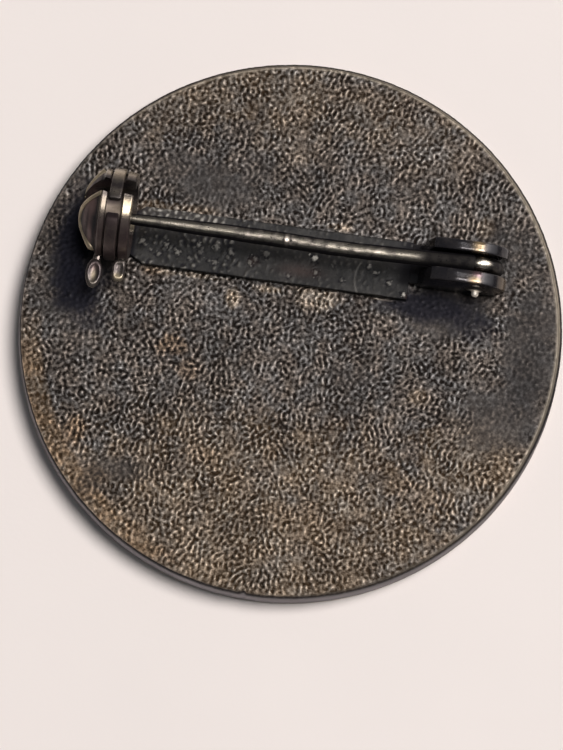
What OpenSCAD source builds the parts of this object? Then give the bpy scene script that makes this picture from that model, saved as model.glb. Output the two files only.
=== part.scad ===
// Round enamel lapel badge, lying face down, with a soldered bar pin on its back.
// Millimetres. The origin is the middle of the front rim, on the surface it lies on.
// +Z goes up out of the back, +X along the pin towards its joint, +Y to the badge's top.

/* [Plate] */
// Widest diameter of the plate, at its front rim
plate_d = 25.4; // [24:0.1:32]
// Diameter of the back face, a little smaller, so that the edge flares to the front
back_d = 25; // [23.6:0.1:31.6]
// Thickness from the front rim to the back face
plate_t = 1.5; // [1.2:0.1:2.5]
// Radius of the plate's rounded edges
edge_r = 0.15; // [0.05:0.05:0.3]
// Width of the raised rim round the enamel
rim_w = 1.1; // [0.6:0.1:2]
// Depth of the recess that holds the enamel
recess_depth = 0.5; // [0.3:0.05:0.8]

/* [Enamel] */
// How far the enamel stays below the rim, so that the rim takes the wear
enamel_low = 0.06; // [0:0.02:0.2]
// Gap between the enamel and the wall of its recess
enamel_gap = 0.03; // [0.01:0.01:0.1]

/* [Flat bar] */
// Length of the flat bar between the catch and the joint
bar_l = 12.4; // [11:0.1:12.6]
// Width of the flat bar
bar_w = 2.6; // [2.2:0.1:3.2]
// Thickness of the flat bar
bar_t = 0.4; // [0.3:0.05:0.45]
// Height of the bar's middle line above the plate's centre
bar_y = 3.45; // [3.2:0.05:3.6]
// Left end of the flat bar
bar_x = -7.2; // [-7.3:0.05:-7]
// Width of the solder seam along the bar's lower edge
seam_w = 0.28; // [0.1:0.02:0.4]

/* [Pin and joint] */
// Height of the pin's line above the plate's centre
pin_y = 3.76; // [3.5:0.02:3.8]
// Height of the pin's line above the back face
pin_h = 2.45; // [2.4:0.05:2.8]
// Radius of the pin's stem where it is straight
wire_r = 0.36; // [0.3:0.01:0.37]
// Radius of the stem where it enters the catch
waist_r = 0.26; // [0.2:0.01:0.3]
// Radius of the loop's middle line round the rivet
loop_r = 0.8; // [0.78:0.01:0.84]
// Where the rivet crosses, along the bar
joint_x = 8.3; // [8:0.05:8.5]
// Thickness of each ear
ear_t = 0.5; // [0.4:0.05:0.6]
// Clear space between the two ears
ear_gap = 0.88; // [0.84:0.02:1]
// Height of the ears above the back face
ear_h = 3; // [2.9:0.05:3.2]
// Radius of the rivet's shank
rivet_r = 0.38; // [0.34:0.01:0.38]
// Radius of the rivet's domed heads
head_r = 0.56; // [0.5:0.02:0.7]
// Height of the rivet's domed heads
head_h = 0.22; // [0.15:0.01:0.3]

/* [Catch] */
// Middle of the catch's housing, along the bar
housing_x = -8.38; // [-8.5:0.02:-8.3]
// Width of the housing's band
housing_w = 0.56; // [0.5:0.02:0.6]
// Outer radius of the housing's band
housing_r = 2.15; // [2.1:0.01:2.2]
// Thickness of the housing's band
housing_t = 0.23; // [0.2:0.01:0.25]
// Width of the mouth on top of the housing, through which the pin leaves
mouth_w = 0.72; // [0.66:0.02:0.9]
// Outer radius of the sleeve inside the housing
sleeve_r = 1.85; // [1.8:0.01:1.88]
// Inner radius of the sleeve
sleeve_bore = 1.45; // [1.3:0.01:1.5]
// Radius of the sleeve's two flanges
flange_r = 2.08; // [2:0.01:2.1]
// Width of each flange
flange_w = 0.43; // [0.36:0.01:0.46]
// Length of the domed end beyond the left flange
dome_l = 1.06; // [0.9:0.02:1.1]
// Width of the slot through the sleeve
slot_w = 0.84; // [0.8:0.02:0.9]
// Direction of the slot at rest, from straight up towards the badge's top
slot_angle = 30; // [20:1:40]
// Reach of the long thumb tab from the sleeve's axis
tab_reach = 3.56; // [3.3:0.02:3.7]
// Thickness of the thumb tabs
tab_t = 0.3; // [0.25:0.01:0.35]

/* [Hidden] */
$fn = 96;

// Shared overlap where pieces of one solid join
weld = 0.1;
// How far a cutting shape runs past the face that it cuts
past = 1;
// Clearance of the sleeve's groove beside the housing, on each side
side_gap = 0.07;
// Clearance round the rivet where it is pressed through the ears
rivet_gap = 0.02;
// Slope of the plate's edge, in degrees
flare = 9;
// Recess radius and the height of the hinge and of the catch's axis
recess_r = plate_d / 2 - rim_w;
axis_z = plate_t + pin_h;
hinge_z = axis_z - loop_r;
// Ears: the round end is centred on the rivet, and the front slopes up to a cut shoulder
ear_r = ear_h - (hinge_z - plate_t);
ear_foot_x = 5.7;
ear_foot_h = 0.3;
ear_shoulder_x = 6.8;
shoulder_cut = [0.35, 0.25];
joint_w = ear_gap + 2 * ear_t;
joint_base_x = bar_x + bar_l;
joint_base_l = joint_x + 1 - joint_base_x;
// Neck between the flat bar and the catch's housing
neck_w = 1.3;
neck_t = 0.3;
chamfer = 0.5;
// Share of the bar's thickness that the solder climbs
seam_climb = 0.6;
// Pin: the wire is thickest in the loop, and the shank beside it tapers to the straight stem
loop_wire_r = wire_r + 0.03;
shank_r = wire_r + 0.02;
shank_x = 5.2;
taper_x = -3;
point_x = housing_x + 0.32;
tip_x = housing_x - 1.32;
tip_r = 0.05;
// Sleeve, along the bar from the housing's middle
groove = housing_w / 2 + side_gap;
sleeve_end = groove + flange_w;
dome_wall = 0.3;
dome_power = 1.6;
slot_run = 3;
// Thumb tabs: an oval leaf on the left, set outwards a little, and a short strip on the right
leaf_w = 0.7;
leaf_l = 1.3;
leaf_out = 0.18;
short_tab_reach = 3.1;
short_tab_w = 0.44;
tab_inset = 0.02;
// Steps of the curves that are drawn point by point
arc_steps = 6;
dome_steps = 8;
leaf_step = 20;

function arc(c, r, a0, a1, n) =
    [for (i = [0 : n]) c + r * [cos(a0 + (a1 - a0) * i / n), sin(a0 + (a1 - a0) * i / n)]];

// Turns a flat shape drawn in Y and Z into a slice that starts at x0 and is w wide along X
module slice_x(x0, w) {
    translate([x0, pin_y, axis_z])
        rotate([90, 0, 90])
            linear_extrude(w) children();
}

// Turns a flat shape drawn in X and Z into a slice that starts at y0 and is w wide along Y
module slice_y(y0, w) {
    translate([0, y0 + w, 0])
        rotate([90, 0, 0])
            linear_extrude(w) children();
}

// Struck plate: the edge flares from the back face to the front rim, with rounded edges
module struck_plate() {
    front = arc([plate_d / 2 - edge_r, edge_r], edge_r, -90, 0, arc_steps);
    back = arc([back_d / 2 - edge_r, plate_t - edge_r], edge_r, flare, 90, arc_steps);
    rim_inner = [[0, recess_depth], [recess_r, recess_depth], [recess_r, 0]];
    rotate_extrude(angle = 360)
        polygon(concat(rim_inner, front, back, [[0, plate_t]]));
}

// Flat bar with cut corners at its left end, and the narrow neck on to the housing
module flat_bar() {
    low = bar_y - bar_w / 2;
    high = bar_y + bar_w / 2;
    outline = [
        [bar_x, low + chamfer], [bar_x + chamfer, low], [joint_base_x, low],
        [joint_base_x, high], [bar_x + chamfer, high], [bar_x, high - chamfer]];
    translate([0, 0, plate_t - weld])
        linear_extrude(bar_t + weld) polygon(outline);
    translate([housing_x - housing_w / 2, pin_y - neck_w / 2, plate_t - weld])
        cube([bar_x - housing_x + 2 * chamfer, neck_w, neck_t + weld]);
    translate([joint_base_x - weld, pin_y - joint_w / 2, plate_t - weld])
        cube([joint_base_l + weld, joint_w, bar_t + weld]);
}

// Solder that ran out along the bar's lower edge
module solder_seam() {
    edge = bar_y - bar_w / 2;
    top = plate_t + bar_t * seam_climb;
    seam = [
        [edge + weld, plate_t - weld], [edge - seam_w, plate_t - weld], [edge - seam_w, plate_t],
        [edge, top], [edge + weld, top]];
    translate([bar_x + 2 * chamfer, 0, 0])
        rotate([90, 0, 90])
            linear_extrude(bar_l - 4 * chamfer) polygon(seam);
}

// One ear of the joint: a sloping front, a flat top and a round end about the rivet
module ear(y0) {
    foot = plate_t + bar_t - weld;
    top = plate_t + ear_h;
    shoulder = [ear_shoulder_x, top];
    side = [
        [ear_foot_x, foot], [ear_foot_x, foot + ear_foot_h], shoulder - shoulder_cut, shoulder,
        [joint_x, top], [joint_x, foot]];
    difference() {
        slice_y(y0, ear_t)
            union() {
                polygon(side);
                translate([joint_x, hinge_z]) circle(r = ear_r);
                translate([joint_x - weld, foot]) square([1, hinge_z - foot - ear_r / 2]);
            }
        translate([joint_x, y0 - past, hinge_z])
            rotate([-90, 0, 0])
                cylinder(r = rivet_r + rivet_gap, h = ear_t + 2 * past);
    }
}

// Band of the catch's housing on its foot, with the mouth on top
module catch_housing() {
    slice_x(housing_x - housing_w / 2, housing_w)
        difference() {
            union() {
                circle(r = housing_r);
                translate([-neck_w / 2, -pin_h - weld]) square([neck_w, pin_h]);
            }
            circle(r = housing_r - housing_t);
            translate([-mouth_w / 2, 0]) square([mouth_w, housing_r + past]);
        }
}

module badge_plate() {
    color("#4d4845")
        union() {
            struck_plate();
            flat_bar();
            solder_seam();
            ear(pin_y - joint_w / 2);
            ear(pin_y + ear_gap / 2);
            catch_housing();
        }
}

module enamel_field() {
    color("#16305f")
        translate([0, 0, enamel_low])
            cylinder(r = recess_r - enamel_gap, h = recess_depth - enamel_low);
}

// Rivet with a shallow dome on each end
module joint_rivet() {
    half = joint_w / 2;
    dome = (head_r * head_r + head_h * head_h) / (2 * head_h);
    span = asin(head_r / dome);
    upper = arc([0, half + head_h - dome], dome, 90 - span, 90, arc_steps);
    lower = arc([0, -half - head_h + dome], dome, -90, span - 90, arc_steps);
    color("#6a625b")
        translate([joint_x, pin_y, hinge_z])
            rotate([-90, 0, 0])
                rotate_extrude(angle = 360)
                    polygon(concat(lower, [[rivet_r, -half], [rivet_r, half]], upper));
}

// Pin: a loop of wire round the rivet, a shank off its top, a straight stem and a long point
module pin_wire() {
    color("#8b8680")
        union() {
            translate([joint_x, pin_y, hinge_z])
                rotate([90, 0, 0])
                    rotate_extrude(angle = 360)
                        translate([loop_r, 0]) circle(r = loop_wire_r);
            translate([joint_x, pin_y, axis_z])
                rotate([0, -90, 0]) {
                    cylinder(r1 = shank_r, r2 = wire_r, h = joint_x - shank_x);
                    translate([0, 0, joint_x - shank_x])
                        cylinder(r = wire_r, h = shank_x - taper_x);
                    translate([0, 0, joint_x - taper_x])
                        cylinder(r1 = wire_r, r2 = waist_r, h = taper_x - point_x);
                    translate([0, 0, joint_x - point_x])
                        cylinder(r1 = waist_r, r2 = tip_r, h = point_x - tip_x);
                }
        }
}

// Outline of the sleeve from the axis outwards: groove, two round flanges and the domed end
module sleeve_outline() {
    bead = flange_w / 2;
    bead_y = flange_r - bead;
    dome_r = bead_y;
    right = arc([bead_y, sleeve_end - bead], bead, 90, -90, arc_steps);
    left = arc([bead_y, bead - sleeve_end], bead, 90, -90, arc_steps);
    outer = [for (i = [1 : dome_steps])
        let (k = 1 - i / dome_steps)
            [dome_r * k, -sleeve_end - dome_l * (1 - pow(k, dome_power))]];
    inner = [for (i = [0 : dome_steps])
        let (k = i / dome_steps)
            [sleeve_bore * k, dome_wall - sleeve_end - dome_l * (1 - pow(k, dome_power))]];
    polygon(concat(
        [[sleeve_bore, sleeve_end]], right, [[sleeve_r, groove], [sleeve_r, -groove]],
        left, outer, inner));
}

// Strip of a thumb tab from y0 to the sleeve, w wide
module tab_strip(x, y0, w) {
    translate([x - w / 2, y0, -tab_t / 2])
        cube([w, -sleeve_bore - weld - y0, tab_t]);
}

// Thumb tabs, pointing away from the badge's top at rest
module long_tab() {
    x = housing_x - groove - flange_w / 2;
    y = leaf_l / 2 - tab_reach;
    translate([x - leaf_out, y, -tab_t / 2])
        linear_extrude(tab_t)
            polygon([for (a = [0 : leaf_step : 359]) [leaf_w / 2 * cos(a), leaf_l / 2 * sin(a)]]);
    tab_strip(x, y, flange_w - 2 * tab_inset);
}

module short_tab() {
    x = housing_x + groove + flange_w / 2;
    y = short_tab_w / 2 - short_tab_reach;
    translate([x, y, -tab_t / 2]) cylinder(r = short_tab_w / 2, h = tab_t);
    tab_strip(x, y, short_tab_w - 2 * tab_inset);
}

module catch_rotor() {
    color("#5c544c")
        translate([0, pin_y, axis_z])
            difference() {
                union() {
                    translate([housing_x, 0, 0])
                        rotate([0, 90, 0])
                            rotate_extrude(angle = 360) sleeve_outline();
                    long_tab();
                    short_tab();
                }
                translate([housing_x - slot_run, 0, 0])
                    rotate([-slot_angle, 0, 0]) {
                        translate([0, -slot_w / 2, 0]) cube([2 * slot_run, slot_w, slot_run]);
                        rotate([0, 90, 0]) cylinder(r = slot_w / 2, h = 2 * slot_run);
                    }
            }
}

badge_plate();
enamel_field();
joint_rivet();
pin_wire();
catch_rotor();
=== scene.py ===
"""Round enamel lapel badge lying face down: pebbled dark back, soldered bar pin, turning safety catch."""

from math import asin, atan2, cos, degrees, exp, hypot, pi, radians, sin

import bmesh
import bpy
import numpy as np
from mathutils import Matrix, Vector, noise


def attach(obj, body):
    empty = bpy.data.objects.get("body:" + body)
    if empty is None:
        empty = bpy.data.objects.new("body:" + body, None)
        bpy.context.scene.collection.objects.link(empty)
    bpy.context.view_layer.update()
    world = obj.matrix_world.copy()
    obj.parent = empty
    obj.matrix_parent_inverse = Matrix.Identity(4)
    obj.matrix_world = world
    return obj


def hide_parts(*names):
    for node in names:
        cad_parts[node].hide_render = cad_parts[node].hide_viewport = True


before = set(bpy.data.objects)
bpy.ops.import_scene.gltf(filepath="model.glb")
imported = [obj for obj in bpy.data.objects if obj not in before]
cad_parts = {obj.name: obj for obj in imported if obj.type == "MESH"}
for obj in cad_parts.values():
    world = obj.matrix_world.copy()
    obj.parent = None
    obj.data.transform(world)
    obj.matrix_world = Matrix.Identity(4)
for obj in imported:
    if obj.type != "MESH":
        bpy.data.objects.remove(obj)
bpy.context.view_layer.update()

# Everything is modelled in millimetres and brought to metres when each piece is given its finish.
# X runs along the pin from its point to its joint, Y across it towards the badge's top, Z up out of the back.
MM = 0.001
PLATE_R, BACK_R, PLATE_T = 12.7, 12.5, 1.5
RIM_W, RECESS = 1.1, 0.5
RECESS_R = PLATE_R - RIM_W
PIN_Y, PIN_Z = 3.76, 3.95
WIRE_R, LOOP_R = 0.36, 0.8
JOINT_X, JOINT_Z = 8.3, 3.15
EAR_T, EAR_GAP, EAR_R = 0.5, 0.88, 1.35
BAR_X, BAR_Y, BAR_L, BAR_W, BAR_T = -7.2, 3.45, 12.4, 2.6, 0.4
BAR_LEFT, BAR_RIGHT, BAR_LOW, BAR_HIGH = -7.95, BAR_X + BAR_L, 2.03, BAR_Y + BAR_W / 2
HOUSING_W, HOUSING_R, HOUSING_T, MOUTH_W = 0.56, 2.15, 0.23, 0.72
SLEEVE_R, BORE_R, FLANGE_R = 1.85, 1.45, 2.08
BAND_X, LEFT_FLANGE, RIGHT_FLANGE = -8.60, 0.30, 0.47
GROOVE = HOUSING_W / 2 + 0.07
DOME_R, DOME_L, DOME_POWER = FLANGE_R - 0.12, 0.97, 2.3
SLOT_W, SLOT_TURN = 0.84, radians(30)

# Turns that lay an upright piece along an axis, and the very small ring that is drawn for a pole
LYING = {"X": (0, pi / 2, 0), "Y": (pi / 2, 0, 0), "Z": (0, 0, 0)}
POLE_R = 1e-4


# ---------------------------------------------------------------- camera, light and paper

# In pixels: the photograph's height and middle, and where the plate's middle lies in it
PICTURE_H, PICTURE_MIDDLE, PLATE_MIDDLE = 750, (281.5, 375.0), (289.5, 328.4)


def set_camera():
    """A camera 200 mm above the back, tilted a little towards the badge's lower edge and rolled 8 degrees."""
    roll, tilt, side = radians(8), radians(9.2), radians(0.5)
    away, focal, sensor = 200.0, 4300.0, 24
    across = Vector((cos(roll), sin(roll), 0))
    upward = Vector((-sin(roll), cos(roll), 0))
    back = (Vector((0, 0, 1)) * cos(tilt) - upward * sin(tilt)) * cos(side) + across * sin(side)
    back.normalize()
    up = (upward - back * upward.dot(back)).normalized()
    right = up.cross(back)
    place = Vector((0, 0, PLATE_T)) + back * away
    place -= right * (PLATE_MIDDLE[0] - PICTURE_MIDDLE[0]) / focal * away
    place += up * (PLATE_MIDDLE[1] - PICTURE_MIDDLE[1]) / focal * away
    data = bpy.data.cameras.new("camera")
    data.sensor_fit = "VERTICAL"
    data.sensor_height = sensor
    data.lens = sensor * focal / PICTURE_H
    data.clip_start, data.clip_end = 0.01, 10
    camera = bpy.data.objects.new("camera", data)
    turn = Matrix((right, up, back)).transposed().to_4x4()
    camera.matrix_world = Matrix.Translation(place * MM) @ turn
    bpy.context.scene.collection.objects.link(camera)
    bpy.context.scene.camera = camera
    return across, upward


def set_lights(across, upward):
    """Soft daylight from the upper right, a window and a pale wall for the metal to mirror, and a dim cool room."""
    bpy.context.scene.view_settings.view_transform = "Standard"

    def lamp(name, side, up, away, width, watts, mirrored):
        data = bpy.data.lights.new(name, "AREA")
        data.shape, data.size, data.energy, data.color = "DISK", width, watts, (1.0, 0.972, 0.955)
        thing = bpy.data.objects.new(name, data)
        towards = (across * side + upward * up + Vector((0, 0, 1))).normalized()
        thing.location = towards * away
        thing.rotation_euler = towards.to_track_quat("Z", "Y").to_euler()
        thing.visible_glossy, thing.visible_diffuse = mirrored, not mirrored
        bpy.context.scene.collection.objects.link(thing)

    lamp("daylight", side=0.43, up=0.21, away=0.9, width=0.46, watts=9.2, mirrored=False)
    lamp("window", side=0.18, up=0.04, away=0.6, width=0.18, watts=1.8, mirrored=True)
    lamp("bright_wall", side=0.80, up=0.36, away=0.9, width=0.62, watts=6.1, mirrored=True)
    world = bpy.data.worlds.new("room")
    bpy.context.scene.world = world
    world.use_nodes = True
    sky = world.node_tree.nodes["Background"]
    sky.inputs["Color"].default_value = (0.86, 0.93, 1.0, 1)
    sky.inputs["Strength"].default_value = 0.10


# ---------------------------------------------------------------- working by hand

def put_down():
    """Nothing stays selected from the piece before."""
    if bpy.context.object and bpy.context.object.mode != "OBJECT":
        bpy.ops.object.mode_set(mode="OBJECT")
    bpy.ops.object.select_all(action="DESELECT")


def hold(*pieces):
    """Takes just these pieces in hand, the first of them as the active one."""
    put_down()
    for piece in pieces:
        piece.select_set(True)
    bpy.context.view_layer.objects.active = pieces[0]


def take(name):
    """Names the primitive that was just added."""
    piece = bpy.context.object
    piece.name = piece.data.name = name
    return piece


def settle():
    bpy.ops.object.transform_apply(location=True, rotation=True, scale=True)


def block(name, middle, size):
    """A cube drawn out to its size."""
    put_down()
    bpy.ops.mesh.primitive_cube_add(size=1, location=middle)
    piece = take(name)
    piece.scale = size
    settle()
    return piece


def rod(name, sides, radius, length, middle, lie, ends="NGON"):
    """A cylinder laid along an axis."""
    put_down()
    bpy.ops.mesh.primitive_cylinder_add(vertices=sides, radius=radius, depth=length, end_fill_type=ends,
                                        location=middle, rotation=LYING[lie])
    piece = take(name)
    settle()
    return piece


def edit():
    bpy.ops.object.mode_set(mode="EDIT")


def leave():
    bpy.ops.object.mode_set(mode="OBJECT")


def pick(kind, test):
    """Selects the vertices or faces of the piece in hand for which test(middle, normal) is true."""
    bpy.ops.mesh.select_mode(type=kind)
    bpy.ops.mesh.select_all(action="DESELECT")
    mesh = bmesh.from_edit_mesh(bpy.context.object.data)
    mesh.normal_update()
    for part in mesh.verts if kind == "VERT" else mesh.faces:
        middle = part.co if kind == "VERT" else part.calc_center_median()
        if test(middle, part.normal):
            part.select_set(True)
    mesh.select_flush_mode()
    bmesh.update_edit_mesh(bpy.context.object.data)


def pick_open_edges():
    bpy.ops.mesh.select_mode(type="EDGE")
    bpy.ops.mesh.select_all(action="DESELECT")
    bpy.ops.mesh.select_non_manifold()


def saw_through(place, out, **options):
    """Cuts the whole piece in hand along a plane."""
    bpy.ops.mesh.select_all(action="SELECT")
    bpy.ops.mesh.bisect(plane_co=place, plane_no=out, **options)


def draw_out(profile):
    """Draws the ring in hand out from each (radius, height) to the next."""
    for (r0, z0), (r1, z1) in zip(profile, profile[1:]):
        bpy.ops.mesh.extrude_edges_move(TRANSFORM_OT_translate={"value": (0, 0, z1 - z0)})
        grow = max(r1, POLE_R) / max(r0, POLE_R)
        bpy.ops.transform.resize(value=(grow, grow, 1), center_override=(0, 0, z1))


def face_outward():
    """Turns all normals outward and leaves the piece."""
    bpy.ops.mesh.select_all(action="SELECT")
    bpy.ops.mesh.normals_make_consistent(inside=False)
    leave()


def turned(name, profile, sides, lie="Z", at=(0, 0, 0)):
    """A turned piece: a circle drawn out ring by ring to each (radius, height), then laid along an axis."""
    put_down()
    start_r, start_z = profile[0]
    bpy.ops.mesh.primitive_circle_add(vertices=sides, radius=max(start_r, POLE_R), location=(0, 0, start_z))
    piece = take(name)
    settle()
    edit()
    bpy.ops.mesh.select_all(action="SELECT")
    draw_out(profile)
    bpy.ops.mesh.select_all(action="SELECT")
    bpy.ops.mesh.remove_doubles(threshold=0.0005)
    face_outward()
    piece.rotation_euler = LYING[lie]
    piece.location = at
    settle()
    return piece


def apply(kind, **settings):
    """Adds a modifier to the piece in hand and applies it."""
    modifier = bpy.context.object.modifiers.new(kind.lower(), kind)
    for key, value in settings.items():
        setattr(modifier, key, value)
    bpy.ops.object.modifier_apply(modifier=modifier.name)


def soften(width, segments=3, angle=35):
    """Rounds the piece's sharp edges."""
    apply("BEVEL", width=width, segments=segments, limit_method="ANGLE", angle_limit=radians(angle))


def unite(*pieces):
    """Joins pieces of one soldered thing into one mesh."""
    hold(*pieces)
    bpy.ops.object.join()
    return pieces[0]


def reshape(piece, move):
    """Moves every vertex to move(position)."""
    for vertex in piece.data.vertices:
        vertex.co = move(vertex.co.copy())
    piece.data.update()


def places_of(piece):
    """Where the piece's vertices are, one row for each."""
    places = np.empty(len(piece.data.vertices) * 3)
    piece.data.vertices.foreach_get("co", places)
    return places.reshape(-1, 3)


def store(piece, label, values):
    """Keeps four painted values for each vertex under a label that the finishes read."""
    layer = piece.data.color_attributes.new(label, "FLOAT_COLOR", "POINT")
    layer.data.foreach_set("color", values.ravel())


def paint(piece, marks_at):
    """Paints the piece: marks_at(position) gives how worn, how dark and how red or golden it is there."""
    marks = np.ones((len(piece.data.vertices), 4), np.float32)
    for index, vertex in enumerate(piece.data.vertices):
        marks[index, :3] = marks_at(vertex.co)
    store(piece, "marks", marks)


def ramp(value, low, high):
    """0 below low, 1 above high and a straight slope between."""
    return min(1.0, max(0.0, (value - low) / (high - low)))


def spot(p, x, y, wide, high):
    """1 in the middle of a spot, falling to 0 beyond its size."""
    return exp(-((p.x - x) / wide) ** 2 - ((p.y - y) / high) ** 2)


def uneven(x, y, layer):
    """Smooth unevenness of about -1 to 1; every layer has a pattern of its own."""
    return noise.noise(Vector((x, y, layer)))


def blotch(x, y, scale, layer):
    """Unevenness in patches about 1 / scale across."""
    return uneven(x * scale, y * scale, layer)


def hand_in(piece, body, finish, node, smooth=40):
    """Brings a finished piece to metres, gives it its finish and its body, and hides the imported node that it stands
    for.
    """
    hold(piece)
    piece.data.transform(Matrix.Scale(MM, 4))
    piece.data.update()
    piece.data.materials.clear()
    piece.data.materials.append(finish)
    bpy.ops.object.shade_smooth_by_angle(angle=radians(smooth))
    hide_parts(node)
    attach(piece, body)
    return piece


# ---------------------------------------------------------------- finishes

def add(tree, kind, settings=None, **sockets):
    """Adds a shader node: settings are its own values, sockets are values or links of its inputs."""
    node = tree.nodes.new(kind)
    for key, value in (settings or {}).items():
        setattr(node, key, value)
    for key, value in sockets.items():
        place = node.inputs[int(key[1:])] if key[0] == "_" else node.inputs[key.replace("_", " ")]
        if isinstance(value, bpy.types.NodeSocket):
            tree.links.new(value, place)
        else:
            place.default_value = value
    return node


def clouds_in(tree, where, scale, detail):
    return add(tree, "ShaderNodeTexNoise", Vector=where, Scale=scale, Detail=detail).outputs["Fac"]


def stretch(tree, value, low, high):
    """0 where the value is low, 1 where it is high."""
    return add(tree, "ShaderNodeMapRange", _0=value, _1=low, _2=high).outputs[0]


def mix(tree, share, first, second):
    return add(tree, "ShaderNodeMix", {"data_type": "RGBA"}, _0=share, _6=first, _7=second).outputs[2]


def maths(tree, how, first, second, clamp=False):
    return add(tree, "ShaderNodeMath", {"operation": how, "use_clamp": clamp}, _0=first, _1=second).outputs[0]


def scaled(tree, value, times, plus):
    """The value times a factor, plus a number or another value."""
    return add(tree, "ShaderNodeMath", {"operation": "MULTIPLY_ADD"}, _0=value, _1=times, _2=plus).outputs[0]


def painted(tree, label):
    """The three values that were painted under a label."""
    colour = add(tree, "ShaderNodeAttribute", {"attribute_name": label}).outputs["Color"]
    return tuple(add(tree, "ShaderNodeSeparateColor", _0=colour).outputs)


def new_group(name, inputs, outputs):
    """A node group with named inputs and outputs."""
    group = bpy.data.node_groups.new(name, "ShaderNodeTree")
    for label, kind, value in inputs:
        place = group.interface.new_socket(label, in_out="INPUT", socket_type=kind)
        if value is not None:
            place.default_value = value
    for label, kind in outputs:
        group.interface.new_socket(label, in_out="OUTPUT", socket_type=kind)
    return group, group.nodes.new("NodeGroupInput"), group.nodes.new("NodeGroupOutput")


def tarnish_group():
    """Tarnish: two tones in clouds of two sizes, with small dark pits."""
    group, given, out = new_group(
        "tarnish",
        [("Position", "NodeSocketVector", None), ("Clean", "NodeSocketColor", (0.3, 0.26, 0.22, 1)),
         ("Dark", "NodeSocketColor", (0.03, 0.027, 0.027, 1)), ("Scale", "NodeSocketFloat", 1.5),
         ("Share", "NodeSocketFloat", 0.5)],
        [("Colour", "NodeSocketColor"), ("Mask", "NodeSocketFloat"), ("Height", "NodeSocketFloat")])
    where, scale = given.outputs["Position"], given.outputs["Scale"]
    wide = clouds_in(group, where, scale, 3.0)
    fine = clouds_in(group, where, maths(group, "MULTIPLY", scale, 7.0), 2.0)
    both = scaled(group, fine, 0.35, wide)
    edge = scaled(group, given.outputs["Share"], 0.5, 0.42)
    mask = stretch(group, maths(group, "SUBTRACT", both, edge), -0.12, 0.12)
    pits = add(group, "ShaderNodeTexVoronoi", Vector=where, Scale=4.2)
    pit = stretch(group, pits.outputs["Distance"], 0.06, 0.17)
    tone = mix(group, mask, given.outputs["Dark"], given.outputs["Clean"])
    group.links.new(mix(group, pit, (0.012, 0.011, 0.012, 1), tone), out.inputs["Colour"])
    group.links.new(mask, out.inputs["Mask"])
    group.links.new(scaled(group, pit, 0.6, fine), out.inputs["Height"])
    return group


def new_finish(name):
    """A material with its Principled shader and the place on the piece in millimetres."""
    finish = bpy.data.materials.new(name)
    finish.use_nodes = True
    tree = finish.node_tree
    shader = tree.nodes["Principled BSDF"]
    place = add(tree, "ShaderNodeTexCoord").outputs["Object"]
    where = add(tree, "ShaderNodeVectorMath", {"operation": "SCALE"}, _0=place, Scale=1000.0).outputs[0]
    return finish, tree, shader, where


def link(tree, source, shader, name):
    tree.links.new(source, shader.inputs[name])


def bump(tree, height, depth, shader, strength):
    """Feeds a height, in shares of depth millimetres, to the shader's normal."""
    node = add(tree, "ShaderNodeBump", Height=height, Strength=strength, Distance=depth * MM)
    link(tree, node.outputs[0], shader, "Normal")


def pebbled_finish():
    """Oxidised bronze: dark hollows, worn grains in grey, gold or brown as the painted patches say."""
    finish, tree, shader, where = new_finish("pebbled_bronze")
    warm, smooth, red = painted(tree, "patches")
    worn, dark, wall = painted(tree, "marks")
    heights = add(tree, "ShaderNodeSeparateXYZ", _0=where).outputs[2]
    level = stretch(tree, heights, PLATE_T - HOLLOWS_AT, PLATE_T - TOPS_AT)
    grit = clouds_in(tree, where, 6.5, 1.5)
    height = maths(tree, "SUBTRACT", scaled(tree, grit, 1.5, level), 0.75, clamp=True)
    tops = maths(tree, "POWER", height, 1.35)
    clouds = stretch(tree, clouds_in(tree, where, 0.5, 3.0), 0.36, 0.64)
    small = stretch(tree, clouds_in(tree, where, 1.1, 2.0), 0.38, 0.62)
    grey = mix(tree, clouds, (0.174, 0.165, 0.161, 1), (0.203, 0.190, 0.182, 1))
    grey = mix(tree, small, grey, (0.233, 0.195, 0.168, 1))
    gold = mix(tree, small, (0.297, 0.253, 0.208, 1), (0.347, 0.274, 0.207, 1))
    metal = mix(tree, warm, grey, gold)
    metal = mix(tree, red, metal, (0.36, 0.225, 0.125, 1))
    hollow = mix(tree, warm, (0.0105, 0.0078, 0.0065, 1), (0.031, 0.0185, 0.0095, 1))
    grained = mix(tree, tops, hollow, metal)
    flat = mix(tree, clouds, (0.026, 0.024, 0.024, 1), (0.046, 0.041, 0.039, 1))
    colour = mix(tree, maths(tree, "MULTIPLY", smooth, 0.75), grained, flat)
    # Painted light and shade at the edge and round the fittings: the wall's painted reflection, the ridge's wear with
    # its painted highlight, and the corner's and fittings' painted shade with soot.
    colour = mix(tree, wall, colour, (0.34, 0.315, 0.33, 1))
    colour = mix(tree, worn, colour, (0.62, 0.53, 0.42, 1))
    colour = mix(tree, dark, colour, (0.009, 0.009, 0.014, 1))
    link(tree, colour, shader, "Base Color")
    link(tree, scaled(tree, tops, -0.14, 0.60), shader, "Roughness")
    shader.inputs["Metallic"].default_value = 0.85
    shader.inputs["Specular IOR Level"].default_value = 0.15
    bump(tree, grit, 0.012, shader, 0.6)
    return finish


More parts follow.
